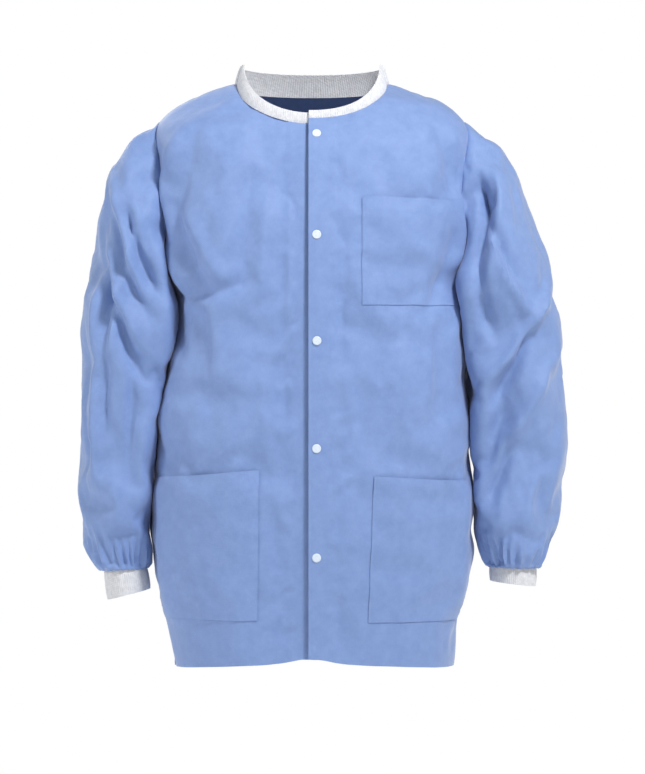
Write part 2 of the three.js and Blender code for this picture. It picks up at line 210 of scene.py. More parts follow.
def body_point(around, z):
    """Point of the body surface, in the frame. around may be negative: the wearer's right."""
    around, z = np.broadcast_arrays(np.asarray(around, float), np.asarray(z, float))
    side = np.where(around < 0, -1.0, 1.0)
    far = np.abs(around)
    back = far > 1
    share = np.where(back, 2 - far, far)
    side = side * np.where(share < 0, -1, 1)
    share = np.abs(share)
    turn = np.where(back, looked_up(TURN_TABLES[True], share, z), looked_up(TURN_TABLES[False], share, z))
    x, y = on_section(turn, z, back)
    return np.stack([side * x * side_swell(z, side > 0), y, z + HEM_Z], -1)


def body_side_x(y, z, side):
    """How far out the side of the body is at a depth and a height."""
    half, front_depth, back_depth, square = np.moveaxis(along_table(SECTIONS, z), -1, 0)
    share = np.clip(np.abs(y) / np.where(y > 0, back_depth, front_depth), 0, 0.999)
    return half * side_swell(z, side > 0) * (1 - share**square) ** (1 / square)


def body_normal(around, z):
    """The direction straight out of the body surface."""
    across = body_point(around + 0.01, z) - body_point(around - 0.01, z)
    up = body_point(around, np.minimum(z + 0.002, NECK_TOP)) - body_point(around, np.maximum(z - 0.002, 0))
    out = np.cross(across, up)
    return out / np.maximum(np.linalg.norm(out, axis=-1, keepdims=True), 1e-12)


def around_at_x(x, z):
    """How far round the front a distance from the middle is, at a height (single numbers)."""
    share, _ = shares_at_level(z, False)
    xs, _ = on_section(TURNS, np.full(len(TURNS), z), False)
    return math.copysign(float(np.interp(abs(x), xs, share)), x)


# %% Edges that are sewn: neckline, armhole and shoulder seam
NECK_HALF, NECK_DROP, BACK_NECK_DROP = 0.095, 0.050, 0.009
ARMHOLE_Z, ARMHOLE_HALF_HEIGHT, ARMHOLE_HALF_DEPTH = 0.593, 0.097, 0.066
LEFT_EDGE, RIGHT_EDGE = -0.004, 0.019  # x of the front edges; the left one lies on top


def front_neck_z(x):
    return NECK_TOP - NECK_DROP * math.sqrt(max(0.0, 1 - (x / NECK_HALF) ** 2))


def side_edge_around(z, back):
    """Where a front or the back ends at the side: 1 at the side seam and shoulder, less at the armhole."""
    share = (z - ARMHOLE_Z) / ARMHOLE_HALF_HEIGHT
    if abs(share) >= 1:
        return 1.0
    depth = ARMHOLE_HALF_DEPTH * math.sqrt(1 - share * share)
    shares, _ = shares_at_level(z, back)
    _, y = on_section(TURNS, np.full(len(TURNS), z), back)
    return float(np.interp(-depth, -np.abs(y), shares))


def even_steps(places, shares):
    """Points at shares of the length of a line of (around, z) places, measured on the coat."""
    places = np.array(places)
    points = body_point(places[:, 0], places[:, 1])
    run = np.concatenate([[0], np.cumsum(np.linalg.norm(np.diff(points, axis=0), axis=1))])
    return np.stack([np.interp(shares * run[-1], run, places[:, k]) for k in (0, 1)], -1)


def seam_steps(count, fine=0.006):
    """Shares from 0 to 1 that lie closer together at both ends, where a seam pulls the cloth in."""
    inner = np.linspace(0.02, 0.98, count - 4)
    return np.concatenate([[0, fine], inner, [1 - fine, 1]])


RELAX_ROUNDS = 60


def patch(columns, rows, centre_line, side_line, hem_line, neck_line):
    """Places of a panel between its four edges."""
    u, v = seam_steps(columns), seam_steps(rows, 0.004)
    left, right = even_steps(centre_line, v), even_steps(side_line, v)
    low, high = even_steps(hem_line, u), even_steps(neck_line, u)
    u, v = u[None, :, None], v[:, None, None]
    corners = ((1 - u) * (1 - v) * low[0] + u * (1 - v) * low[-1]
               + (1 - u) * v * high[0] + u * v * high[-1])
    places = (1 - v) * low[None] + v * high[None] + (1 - u) * left[:, None] + u * right[:, None] - corners
    for _ in range(RELAX_ROUNDS):  # the rows lose the bend that the corners of the armhole give them
        places[3:-3, 3:-3] = (places[2:-4, 3:-3] + places[4:-2, 3:-3]
                              + places[3:-3, 2:-4] + places[3:-3, 4:-2]) / 4
    return places


# %% [markdown]
# ## Folds
#
# Nonwoven cloth is stiff, so it makes long soft folds with crisp ends instead of small ripples. The
# big folds of this coat fan out from both underarms, run down the sleeves and stand beside the
# fastened front. Each is a crease along a line: it pushes the cloth in or out along its normal. A
# finer crumple, made of many slanted waves of different size, covers everything lightly.


# %% Crease and crumple
def smooth(t):
    t = np.clip(t, 0, 1)
    return t * t * (3 - 2 * t)


def crease(x, z, line, width, depth):
    """Push along a line (x0, z0, x1, z1, bend), in millimetres; negative depth is a valley."""
    x0, z0, x1, z1, bend = (c / 1000 for c in line)
    run = np.array([x1 - x0, z1 - z0])
    length = np.linalg.norm(run)
    run /= length
    t = ((x - x0) * run[0] + (z - z0) * run[1]) / length
    inside = np.clip(t, 0, 1)
    off = (x - x0) * run[1] - (z - z0) * run[0] - bend * 4 * inside * (1 - inside)
    ends = smooth(t / 0.3) * smooth((1 - t) / 0.3)
    wide = width / 1000 * (0.7 + 0.6 * inside)
    return depth / 1000 * ends * np.exp(-np.abs(off / wide) ** 1.7)


TROUGH = 0.35  # how much deeper the troughs are than in a plain wave
crumple_rng = np.random.default_rng(7)
WAVES = []
for wavelength, size, count in ((0.17, 2.6, 7), (0.085, 1.5, 9), (0.045, 0.72, 12), (0.022, 0.22, 14)):
    for _ in range(count):
        way = crumple_rng.normal(size=3) * np.array([1.0, 1.0, 0.72])
        way *= 2 * np.pi / wavelength / np.linalg.norm(way)
        WAVES.append((way, crumple_rng.uniform(0, 6.28), size / 1000 / math.sqrt(count)))


def crumple(points):
    """A soft random relief in metres: waves whose troughs are deeper than their crests are high."""
    total = np.zeros(points.shape[:-1])
    warp = 0.5 * np.sin(points @ np.array([21.0, 17.0, 13.0]) + 1.3)
    for way, start, size in WAVES:
        s = np.sin(points @ way + start + warp)
        total += size * (s + TROUGH * (1 - 2 * np.sqrt(s**2 + 0.02)))
    return total


# %% Folds of the body, front and back
# line (x0, z0, x1, z1, bend), width, depth; heights above the hem, all in millimetres
FOLD_GAIN = 1.9  # how much deeper all folds are than listed
SIDE_FADE = 0.035  # folds of the front and of the back fade out this far from the side
FRONT_FOLDS = [
    ((-206, 644, -156, 462, 10), 10, 5), ((205, 640, 166, 486, -12), 10, 4.5),
    ((-180, 470, -60, 500, 14), 10, -2.2), ((-176, 480, -90, 560, 10), 10, 2.2),
    ((184, 500, 100, 560, -10), 12, 1.2), ((184, 490, 90, 440, 8), 12, -1.2),
    ((-200, 632, -168, 476, 6), 9, -7), ((-186, 628, -150, 470, 8), 9, 5), ((-176, 600, -118, 452, 8), 9, -4),
    ((-160, 590, -96, 470, 8), 11, 3.5), ((-196, 560, -150, 440, -4), 7, 3.5),
    ((-178, 500, -160, 380, 4), 9, -3),
    ((-150, 690, -196, 560, 8), 10, 3), ((-128, 700, -168, 560, 6), 10, -2.5),
    ((200, 632, 186, 500, -8), 9, -8), ((188, 620, 166, 480, -8), 8, 4.5),
    ((178, 560, 140, 430, -6), 9, -3.5),
    ((192, 500, 168, 390, -5), 8, 3), ((168, 690, 198, 570, -8), 10, 3), ((140, 705, 180, 590, -6), 10, -2.5),
    ((-40, 668, -58, 430, 10), 12, 2.2), ((-70, 660, -84, 420, 6), 14, -2.4),
    ((-22, 640, -30, 330, 4), 8, 1.6),
    ((40, 660, 46, 440, -4), 10, 1.8), ((54, 640, 40, 330, 6), 12, -1.8), ((-34, 560, -26, 200, 4), 9, -1.6),
    ((-110, 560, -120, 300, 8), 14, 2.2), ((-140, 470, -128, 260, -6), 12, -2),
    ((120, 440, 110, 262, 6), 14, 2),
    ((158, 450, 150, 270, -5), 12, -2), ((-60, 400, -30, 150, 8), 12, 1.8),
    ((-50, 250, -28, 20, 4), 12, -1.6),
    ((46, 260, 40, 20, -5), 12, 1.8), ((26, 420, 60, 200, -8), 10, 1.5), ((-90, 60, 60, 40, 6), 12, -1),
    ((-184, 260, -176, 40, 4), 9, 2.5), ((186, 250, 180, 40, -4), 9, 2.5), ((-30, 600, -14, 560, 2), 6, -1.5),
    ((20, 575, 48, 520, 3), 7, -1.4), ((-70, 330, -20, 290, 5), 9, 1.2), ((-14, 430, -50, 380, 4), 7, 1.2)]
BACK_FOLDS = [
    ((-190, 600, -120, 420, 10), 12, -6), ((-170, 620, -90, 450, 10), 12, 5),
    ((190, 600, 120, 420, -10), 12, -6),
    ((170, 620, 90, 450, -10), 12, 5), ((-60, 640, -70, 120, 12), 20, 4), ((10, 600, 0, 60, -8), 22, -4),
    ((70, 620, 84, 100, 10), 20, 4), ((-130, 420, -120, 40, 6), 18, -4), ((140, 420, 128, 40, -6), 18, -4),
    ((-100, 690, 100, 690, 10), 16, -2), ((-150, 660, -60, 600, 6), 12, 2.4),
    ((150, 655, 60, 600, -6), 12, 2.4)]


def body_relief(points):
    """How far the folds push the body of the coat out at points of its surface."""
    x, y, z = points[..., 0], points[..., 1], points[..., 2] - HEM_Z
    front, back = smooth(-y / SIDE_FADE), smooth(y / SIDE_FADE)
    total = np.zeros(x.shape)
    for half, folds in ((front, FRONT_FOLDS), (back, BACK_FOLDS)):
        for line, width, depth in folds:
            total += FOLD_GAIN * half * crease(x, z, line, width, depth)
    total += crumple(points) * (1 - 0.55 * front * smooth((0.27 - z) / 0.08))
    # the fastened front, the neckline, the armhole and the shoulder hold the cloth still
    front_band = 1 - 0.8 * front * smooth((0.034 - np.abs(x - 0.006)) / 0.02)
    neck = smooth((0.745 - z) / 0.03) * smooth((np.hypot(x, 0.755 - z) - 0.06) / 0.03)
    hole = np.hypot((z - ARMHOLE_Z) / ARMHOLE_HALF_HEIGHT, y / ARMHOLE_HALF_DEPTH)
    arm = np.where(np.abs(x) > 0.15, smooth((hole - 1.0) / 0.14), 1)
    shoulder = 1 - 0.6 * smooth((z - 0.64) / 0.06)
    return total * front_band * neck * arm * shoulder


# %% [markdown]
# ## Cloth with a thickness
#
# Each cut piece becomes a closed shell: the outer face, an inner face 0.6 mm behind it and a rim. A
# closed shell looks right from both sides, as when the coat is open, and its UV map is the flat piece
# in metres, so that the pattern of the cloth keeps its true scale and follows the surface.

# %% A closed shell from a grid of points
CLOTH = 0.0006
CLOTH_FACE = 0.0010  # the outer face of the cloth, above the surface the coat is cut from


def grid_normals(grid, loop):
    if loop:
        across = np.roll(grid, -1, 1) - np.roll(grid, 1, 1)
    else:
        across = np.gradient(grid, axis=1)
    out = np.cross(across, np.gradient(grid, axis=0))
    return out / np.maximum(np.linalg.norm(out, axis=-1, keepdims=True), 1e-12)


def grid_faces(rows, columns, loop):
    """Four corner numbers of each face of a grid, and their places in a map one column wider if it loops."""
    j = np.arange(columns if loop else columns - 1)
    i = np.arange(rows - 1)[:, None]
    k = (j + 1) % columns
    corner = [i * columns + j, i * columns + k, (i + 1) * columns + k, (i + 1) * columns + j]
    wide = columns + 1 if loop else columns
    spot = [i * wide + j, i * wide + j + 1, (i + 1) * wide + j + 1, (i + 1) * wide + j]
    return (np.stack(np.broadcast_arrays(*corner), -1).reshape(-1, 4),
            np.stack(np.broadcast_arrays(*spot), -1).reshape(-1, 4))


def rim_faces(ring, count):
    """Faces that join a ring of outer points to the inner points behind them."""
    after = np.roll(ring, -1)
    return np.stack([ring, ring + count, after + count, after], -1)


def flat_map(grid, loop):
    """The UV map: lengths along the middle row and the middle column, in metres."""
    closed = np.concatenate([grid, grid[:, :1]], 1) if loop else grid
    middle = closed.shape[1] // 2
    u = np.concatenate([[0], np.cumsum(np.linalg.norm(np.diff(closed[len(grid) // 2], axis=0), axis=1))])
    v = np.concatenate([[0], np.cumsum(np.linalg.norm(np.diff(closed[:, middle], axis=0), axis=1))])
    return np.stack(np.broadcast_arrays(u[None, :], v[:, None]), -1)


def shell(name, grid, thickness, material, loop=False):
    """A closed sheet of cloth from its outer face; loop joins the last column to the first."""
    rows, columns = grid.shape[:2]
    inner = grid - grid_normals(grid, loop) * thickness
    points = np.concatenate([grid.reshape(-1, 3), inner.reshape(-1, 3)])
    count = rows * columns
    quads, spots = grid_faces(rows, columns, loop)
    number = np.arange(count).reshape(rows, columns)
    if loop:
        rims = [rim_faces(number[0], count), rim_faces(number[-1][::-1], count)]
    else:
        border = np.concatenate([number[0, :-1], number[:-1, -1], number[-1, :0:-1], number[:0:-1, 0]])
        rims = [rim_faces(border, count)]
    faces = np.concatenate([quads, quads[:, ::-1] + count] + rims)
    mesh = bpy.data.meshes.new(name)
    mesh.from_pydata(points.tolist(), [], faces.tolist())
    flat = flat_map(grid, loop).reshape(-1, 2)
    rim_count = sum(len(r) for r in rims)
    rim_uv = np.repeat(flat[:1], rim_count * 4, 0)
    uv = np.concatenate([flat[spots.ravel()], flat[spots[:, ::-1].ravel()], rim_uv])
    mesh.uv_layers.new(name="flat_cloth").data.foreach_set("uv", uv.ravel())
    piece = bpy.data.objects.new(name, mesh)
    bpy.context.scene.collection.objects.link(piece)
    mesh.materials.append(material)
    mesh.polygons.foreach_set("use_smooth", np.ones(len(mesh.polygons), bool))
    finish_edges(piece)
    diagonals = grid[1:, 1:] - grid[:-1, :-1], grid[:-1, 1:] - grid[1:, :-1]
    area = float(np.linalg.norm(np.cross(*diagonals), axis=-1).sum() / 2)
    print(f"{name}: {len(faces)} faces, {area:.4f} square metres")
    return piece, area


def finish_edges(piece, angle=50):
    """Smooth shading, except over edges sharper than an angle in degrees."""
    bpy.ops.object.select_all(action="DESELECT")
    piece.select_set(True)
    bpy.context.view_layer.objects.active = piece
    bpy.ops.object.shade_smooth_by_angle(angle=math.radians(angle))
    piece.select_set(False)


# %% [markdown]
# ## Finishes
#
# The blue cloth is three bonded layers of fine fibres. Up close it has a regular pattern of tiny
# bonded dots, cloudy density and stray fibres, with a faint sheen. The knit is matt white cotton-like
# yarn, and the snaps are smooth moulded plastic.


# %% Node helpers
def new_finish(name, color, roughness):
    """A material with its shader's plain values set, and its node tree."""
    material = bpy.data.materials.new(name)
    material.use_nodes = True
    shader = material.node_tree.nodes["Principled BSDF"]
    shader.inputs["Base Color"].default_value = (*color, 1)
    shader.inputs["Roughness"].default_value = roughness
    return material, material.node_tree, shader


def node(tree, kind, **values):
    made = tree.nodes.new("ShaderNode" + kind)
    for key, value in values.items():
        if hasattr(made, key) and key not in made.inputs:
            setattr(made, key, value)
        else:
            made.inputs[key.replace("_", " ")].default_value = value
    return made


def scaled(tree, source, scale):
    """A copy of coordinates stretched by a scale."""
    mapping = tree.nodes.new("ShaderNodeMapping")
    mapping.inputs["Scale"].default_value = scale
    tree.links.new(source, mapping.inputs["Vector"])
    return mapping.outputs[0]


def noise(tree, vector, **values):
    """A noise pattern on coordinates."""
    made = node(tree, "TexNoise", **values)
    tree.links.new(vector, made.inputs["Vector"])
    return made.outputs[0]


def bump(tree, height, strength, distance, below=None):
    """A normal bent by a height, on top of the bump below it."""
    made = node(tree, "Bump", Strength=strength, Distance=distance)
    tree.links.new(height, made.inputs["Height"])
    if below:
        tree.links.new(below, made.inputs["Normal"])
    return made.outputs[0]


def ranged(tree, factor, **values):
    """A value moved from one range to another."""
    made = node(tree, "MapRange", **values)
    tree.links.new(factor, made.inputs["Value"])
    return made.outputs[0]


def coordinates_of(tree):
    """The flat map of a piece and the place in the coat."""
    made = node(tree, "TexCoord")
    return made.outputs["UV"], made.outputs["Object"]


def shades(tree, factor, dark, light, low=0.3, high=0.7):
    """Colour between a dark and a light shade of a finish."""
    ramp = tree.nodes.new("ShaderNodeValToRGB")
    ramp.color_ramp.elements[0].position, ramp.color_ramp.elements[1].position = low, high
    ramp.color_ramp.elements[0].color, ramp.color_ramp.elements[1].color = (*dark, 1), (*light, 1)
    tree.links.new(factor, ramp.inputs[0])
    return ramp.outputs[0]


# %% Bonded blue cloth
CLOTH_DARK, CLOTH_LIGHT = (0.163, 0.254, 0.505), (0.200, 0.300, 0.565)
DOTS_PER_METRE = 620  # bonded dots, about 1.6 mm apart

cloth_finish, tree, shader = new_finish("blue_nonwoven", CLOTH_LIGHT, 0.62)
shader.inputs["Sheen Weight"].default_value = 0.25
shader.inputs["Sheen Roughness"].default_value = 0.45
shader.inputs["Specular IOR Level"].default_value = 0.35
flat, place = coordinates_of(tree)

cloud = noise(tree, place, Scale=70.0, Detail=7.0, Roughness=0.66)
fibres = noise(tree, scaled(tree, flat, (900, 160, 1)), Scale=1.0, Detail=5.0, Roughness=0.7)
mixed = node(tree, "Math", operation="MULTIPLY_ADD")
tree.links.new(fibres, mixed.inputs[0])
mixed.inputs[1].default_value = 0.35
tree.links.new(cloud, mixed.inputs[2])
blue = shades(tree, mixed.outputs[0], CLOTH_DARK, CLOTH_LIGHT, 0.45, 0.9)
tree.links.new(blue, shader.inputs["Base Color"])
tree.links.new(ranged(tree, cloud, To_Min=0.52, To_Max=0.74), shader.inputs["Roughness"])

dots = node(tree, "TexVoronoi", Scale=1.0, Randomness=0.0)
tree.links.new(scaled(tree, flat, (DOTS_PER_METRE, DOTS_PER_METRE * 0.8, 1)), dots.inputs["Vector"])
pits = bump(tree, ranged(tree, dots.outputs["Distance"], From_Min=0.12, From_Max=0.34), 0.22, 0.0003)
creased = noise(tree, place, Scale=85.0, Detail=7.0, Roughness=0.6)
tree.links.new(bump(tree, creased, 0.35, 0.0016, pits), shader.inputs["Normal"])
print("blue cloth with bonded dots")

# %% White knit
knit_finish, tree, shader = new_finish("white_rib_knit", (0.64, 0.65, 0.68), 0.88)
shader.inputs["Sheen Weight"].default_value = 0.3
shader.inputs["Sheen Roughness"].default_value = 0.6
flat, place = coordinates_of(tree)
loops = node(tree, "TexWave", wave_type="BANDS", bands_direction="DIAGONAL",
             Scale=1.0, Distortion=1.5, Detail=3.0)
tree.links.new(scaled(tree, flat, (260, 330, 1)), loops.inputs["Vector"])
lint = noise(tree, place, Scale=210.0, Detail=5.0)
white = shades(tree, lint, (0.58, 0.59, 0.62), (0.68, 0.69, 0.72), 0.3, 0.62)
tree.links.new(white, shader.inputs["Base Color"])
yarn = bump(tree, loops.outputs["Fac"], 0.5, 0.0005)
tree.links.new(bump(tree, lint, 0.35, 0.0006, yarn), shader.inputs["Normal"])

# %% Snap plastic
plastic_finish, tree, shader = new_finish("white_snap_plastic", (0.60, 0.68, 0.78), 0.32)
shader.inputs["Specular IOR Level"].default_value = 0.5
grain = noise(tree, coordinates_of(tree)[1], Scale=600.0, Detail=3.0)
tree.links.new(shades(tree, grain, (0.57, 0.65, 0.76), (0.64, 0.71, 0.80)), shader.inputs["Base Color"])
tree.links.new(ranged(tree, grain, To_Min=0.26, To_Max=0.42), shader.inputs["Roughness"])
tree.links.new(bump(tree, grain, 0.12, 0.0002), shader.inputs["Normal"])
print("knit and plastic")

# %% [markdown]
# ## The fronts
#
# Each front reaches from its edge to the side seam, and from the hem to the neckline and the shoulder
# seam, with the armhole cut out of its side. Cloth is never as even as a drawn surface, so each big
# panel is cut a little too large and settles for a moment in a cloth simulation, held at its seams. A
# front bends about a line down the outer part of the chest when the coat is opened.

# %% Let cut cloth settle
SETTLE_FRAMES = 16
HELD_MOST = 0.012  # a point moves at most this far from where it was cut to lie


def settle(grid, held, excess, bend, loop=False):
    """How far each point of a grid moves when cloth cut too large settles between its held edges."""
    rows, columns = grid.shape[:2]
    quads, _ = grid_faces(rows, columns, loop)
    mesh = bpy.data.meshes.new("settling")
    mesh.from_pydata(grid.reshape(-1, 3).tolist(), [], quads.tolist())
    sheet = bpy.data.objects.new("settling", mesh)
    bpy.context.scene.collection.objects.link(sheet)
    group = sheet.vertex_groups.new(name="held")
    steps = np.round(np.clip(held, 0, 1).ravel() * 40) / 40
    for weight in np.unique(steps):
        group.add(np.flatnonzero(steps == weight).tolist(), float(weight), "REPLACE")
    cloth = sheet.modifiers.new("settle", "CLOTH")
    made = cloth.settings
    made.quality, made.mass, made.air_damping = 5, 0.08, 2.0
    made.tension_stiffness = made.compression_stiffness = 60
    made.shear_stiffness, made.bending_stiffness = 30, bend
    made.vertex_group_mass, made.pin_stiffness = "held", 2.0
    made.shrink_min = -excess
    cloth.point_cache.frame_start, cloth.point_cache.frame_end = 1, SETTLE_FRAMES
    for number in range(1, SETTLE_FRAMES + 1):
        bpy.context.scene.frame_set(number)
    settled = sheet.evaluated_get(bpy.context.evaluated_depsgraph_get()).to_mesh()
    places = np.zeros(len(settled.vertices) * 3)
    settled.vertices.foreach_get("co", places)
    bpy.data.objects.remove(sheet)
    bpy.context.scene.frame_set(1)
    move = places.reshape(grid.shape) - grid
    far = np.linalg.norm(move, axis=-1, keepdims=True)
    print("settled", grid.shape[:2], "mean and largest move in mm",
          round(float(far.mean()) * 1000, 2), round(float(far.max()) * 1000, 2))
    return move * (HELD_MOST * np.tanh(far / HELD_MOST) / np.maximum(far, 1e-9))


def between(values, axis, loop=False):
    """Values of a coarse grid with one more in the middle of each step along an axis, on a smooth curve."""
    a = np.moveaxis(values, axis, 0)
    if loop:
        before, after, after2 = np.roll(a, 1, 0), np.roll(a, -1, 0), np.roll(a, -2, 0)
    else:
        last = a[-1:]
        before, after = np.concatenate([a[:1], a[:-1]]), np.concatenate([a[1:], last])
        after2 = np.concatenate([a[2:], last, last])
    middle = (9 * (a + after) - before - after2) / 16
    out = np.stack([a, middle], 1).reshape((-1,) + a.shape[1:])
    return np.moveaxis(out if loop else out[:-1], 0, axis)


# %% Where a front is fastened
SNAP_X, SNAP_HEIGHTS = 0.006, (0.667, 0.541, 0.410, 0.277, 0.142)


def bend_with_front(piece):
    """Bakes the piece's placement into its mesh; nothing here bends it."""
    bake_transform(piece)


# %% Panels of the front
UNDERLAP = 0.0076  # how deep the right front lies under the left one
FACING_WIDTH, UNDERLAP_FADE = 0.035, 0.072
FACING_STEP = 0.0005  # how far the facing behind it pushes the front out
FRONT_NOTCH, NOTCH_WIDTH = 0.006, 0.03  # the hem rises a little towards the front edges
HEM_RISE, HEM_REACH = 0.010, 0.19  # the whole front hem hangs higher in the middle than at the sides
SEAM_DIP, SEAM_REACH = 0.0008, 0.004


def underlap(x, side):
    """How deep a front lies at a distance from the middle; only the right one is under the other."""
    return UNDERLAP * (1 - smooth((-x - FACING_WIDTH) / UNDERLAP_FADE)) if side < 0 else np.zeros_like(x)


def hem_rise(x, z):
    """How much higher than it was cut a place near the front hem hangs."""
    rise = FRONT_NOTCH * np.exp(-(x / NOTCH_WIDTH) ** 2) + HEM_RISE * np.clip(1 - (x / HEM_REACH) ** 2, 0, 1)
    return rise * (1 - smooth(z / 0.2))


def on_coat(around, z, lift=0.0, side=1):
    """Points of cloth on the body of the coat, folds included, at a height above the surface."""
    base, out = body_point(around, z), body_normal(around, z)
    push = body_relief(base) + CLOTH_FACE + lift - underlap(base[..., 0], side) * smooth(-base[..., 1] / 0.02)
    return base + out * push[..., None]


def seam_dip(grid, edges):
    """Pull the cloth in beside seams; edges are lists of 'left', 'right', 'top', 'bottom'."""
    out = grid_normals(grid, False)
    dip = np.zeros(grid.shape[:2])
    for edge in edges:
        line = {"left": grid[:, :1], "right": grid[:, -1:], "top": grid[-1:], "bottom": grid[:1]}[edge]
        away = np.linalg.norm(grid - line, axis=-1)
        dip = np.maximum(dip, np.exp(-(away / SEAM_REACH) ** 2))
    return grid - out * (dip * SEAM_DIP)[..., None]


def front_places(side, columns, rows):
    edge = LEFT_EDGE if side > 0 else -RIGHT_EDGE  # measured towards the piece's own side
    zs = np.linspace(0, front_neck_z(edge), 60)
    centre_line = [(around_at_x(edge, z), z) for z in zs]
    side_line = [(side_edge_around(z, False), z) for z in np.linspace(0, NECK_TOP, 300)]
    start = centre_line[0][0]
    hem_line = [(a, 0.0) for a in np.linspace(start, 1, 60)]
    turns = np.linspace(math.asin(edge / NECK_HALF), math.pi / 2, 200)
    neck_line = [(around_at_x(NECK_HALF * math.sin(t), NECK_TOP - NECK_DROP * math.cos(t)),
                  NECK_TOP - NECK_DROP * math.cos(t)) for t in turns]
    neck_line[-1] = (1.0, NECK_TOP)
    return patch(columns, rows, centre_line, side_line, hem_line, neck_line)


def front_grid(places, side):
    around, z = places[..., 0] * side, np.clip(places[..., 1], 0, NECK_TOP)
    x = body_point(around, z)[..., 0]
    z = z + hem_rise(x, z)
    facing = FACING_STEP * smooth((FACING_WIDTH - 0.004 - np.abs(x)) / 0.002)
    grid = on_coat(around, z, facing, side)
    return grid if side > 0 else grid[:, ::-1]


FRONT_COLUMNS, FRONT_ROWS = 48, 94
EXCESS, BENDING = 0.03, 45.0  # how much too large the cloth is cut, and how stiff it is
FREE, TIED = 0.22, 1.0  # how firmly the middle of a panel and a seam are held
BODY_SHARE, SLEEVE_SHARE = 0.4, 0.75  # how much of the settled move is kept


def settled_move(grid, held, share, loop=False):
    """The settled move of a coarse grid, with a point more between each two."""
    move = share * settle(grid, held, EXCESS, BENDING, loop)
    return between(between(move, 0), 1, loop)


def finer(places):
    """A grid of places with one more in the middle of each step both ways."""
    return between(between(places, 0), 1)


def front_hold(grid, side):
    """A front is held at its seams and at its fastened edge, and hangs freely at the hem."""
    held = np.full(grid.shape[:2], FREE)
    held[:, 0] = held[:, -1] = held[-1] = TIED
    x = grid[..., 0] * side
    held = np.maximum(held, TIED * smooth((0.030 - x) / 0.01))
    for z in SNAP_HEIGHTS:
        away = np.hypot(x - SNAP_X, grid[..., 2] - HEM_Z - z)
        held = np.maximum(held, smooth((0.03 - away) / 0.01))
    return held


fronts, front_moves = {}, {}
for side, word in ((1, "left"), (-1, "right")):
    places = front_places(side, FRONT_COLUMNS, FRONT_ROWS)
    coarse = front_grid(places, side)
    move = settled_move(coarse, front_hold(coarse, side), BODY_SHARE)
    grid = front_grid(finer(places), side)
    front_moves[side] = (grid.reshape(-1, 3), move.reshape(-1, 3))
    grid = seam_dip(grid + move, ["right" if side > 0 else "left", "top"])
    piece, area = shell("front_" + word, grid, CLOTH, cloth_finish)
    bend_with_front(piece)
    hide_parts("front_panel_" + word, "front_shoulder_" + word)
    fronts[side] = piece

# %% [markdown]
# ## The back
#
# The back is one piece, side seam to side seam. It is made as half a panel and its mirror image, which
# share the centre line, so that it has no seam there, while the folds differ on the two sides.

# %% Back panel
BACK_COLUMNS, BACK_ROWS = 38, 88

zs = np.linspace(0, NECK_TOP - BACK_NECK_DROP, 60)
centre_line = [(2.0, z) for z in zs]
side_line = [(2 - side_edge_around(z, True), z) for z in np.linspace(0, NECK_TOP, 300)]
hem_line = [(2 - s, 0.0) for s in np.linspace(0, 1, 60)]
neck_line = [(2 - s, NECK_TOP - BACK_NECK_DROP * (1 - s * s)) for s in np.linspace(0, 1, 100)]
half = patch(BACK_COLUMNS, BACK_ROWS, centre_line, side_line, hem_line, neck_line)
halves = half[:, ::-1], half * np.array([-1, 1])
whole = np.concatenate([halves[0], halves[1][:, 1:]], 1)
coarse = on_coat(whole[..., 0], np.clip(whole[..., 1], 0, NECK_TOP))
held = np.full(coarse.shape[:2], FREE)
held[:, 0] = held[:, -1] = held[-1] = TIED
move = settled_move(coarse, held, BODY_SHARE)
places = np.concatenate([finer(halves[0]), finer(halves[1])[:, 1:]], 1)
grid = on_coat(places[..., 0], np.clip(places[..., 1], 0, NECK_TOP))
grid = seam_dip(grid + move, ["left", "right", "top"])
back, area = shell("back", grid, CLOTH, cloth_finish)
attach(back, "root")
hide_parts("back_panel")

# %% [markdown]
# ## The sleeves
#
# A sleeve starts on the very line of the armhole and follows rings down the arm. The wearer's left
# sleeve hangs a little further out than the right one, so each has its own rings. Their inner side is
# pressed flat on the side of the body, as a hanging arm presses it, and stays just off the cloth there.
# Long folds run down the outer side, slanted ones cross at the elbow, and the cloth gathers above the
# cuff.

# %% Rings of each sleeve
# how far down, x and z of the outer point, x and z of the inner point, y of the centre, half depth
SLEEVE_RINGS = {
    1: np.array([
        [0, 198, 690, 182, 496, 0, 66], [1, 236, 661, 180, 482, -5, 78], [2, 264, 615, 180, 462, -10, 84],
        [3, 284, 560, 182, 440, -12, 84], [4, 300, 500, 185, 412, -11, 80], [5, 313, 430, 190, 374, -9, 74],
        [6, 318, 350, 194, 330, -7, 69], [7, 320, 265, 199, 262, -3, 63], [8, 313, 190, 205, 190, -5, 57],
        [9, 300, 146, 213, 146, -8, 49], [10, 289, 124, 223, 126, -8, 42]], float),
    -1: np.array([
        [0, 198, 690, 182, 496, 0, 66], [1, 232, 664, 174, 478, -5, 78], [2, 257, 614, 170, 456, -10, 84],
        [3, 271, 560, 169, 430, -12, 84], [4, 281, 500, 170, 402, -11, 80], [5, 288, 430, 177, 370, -9, 74],
        [6, 291, 350, 185, 330, -7, 69], [7, 297, 275, 196, 262, -3, 63], [8, 297, 196, 202, 186, -5, 56],
        [9, 285, 146, 203, 144, -8, 47], [10, 269, 121, 208, 124, -8, 40]], float)}
PRESSED = 2.2  # how much squarer than an ellipse the inner side of a sleeve is, pressed on the body
BODY_GAP = 0.0035  # how far the sleeve stays off the body
CUFF_TOPS = {1: (283, 126, 227, 128, -8, 37.5), -1: (263, 122, 212, 124, -8, 35.5)}
CUFF_ENDS = {1: (283, 101, 226, 108, -10, 37), -1: (259, 84, 205, 98, -10, 36)}


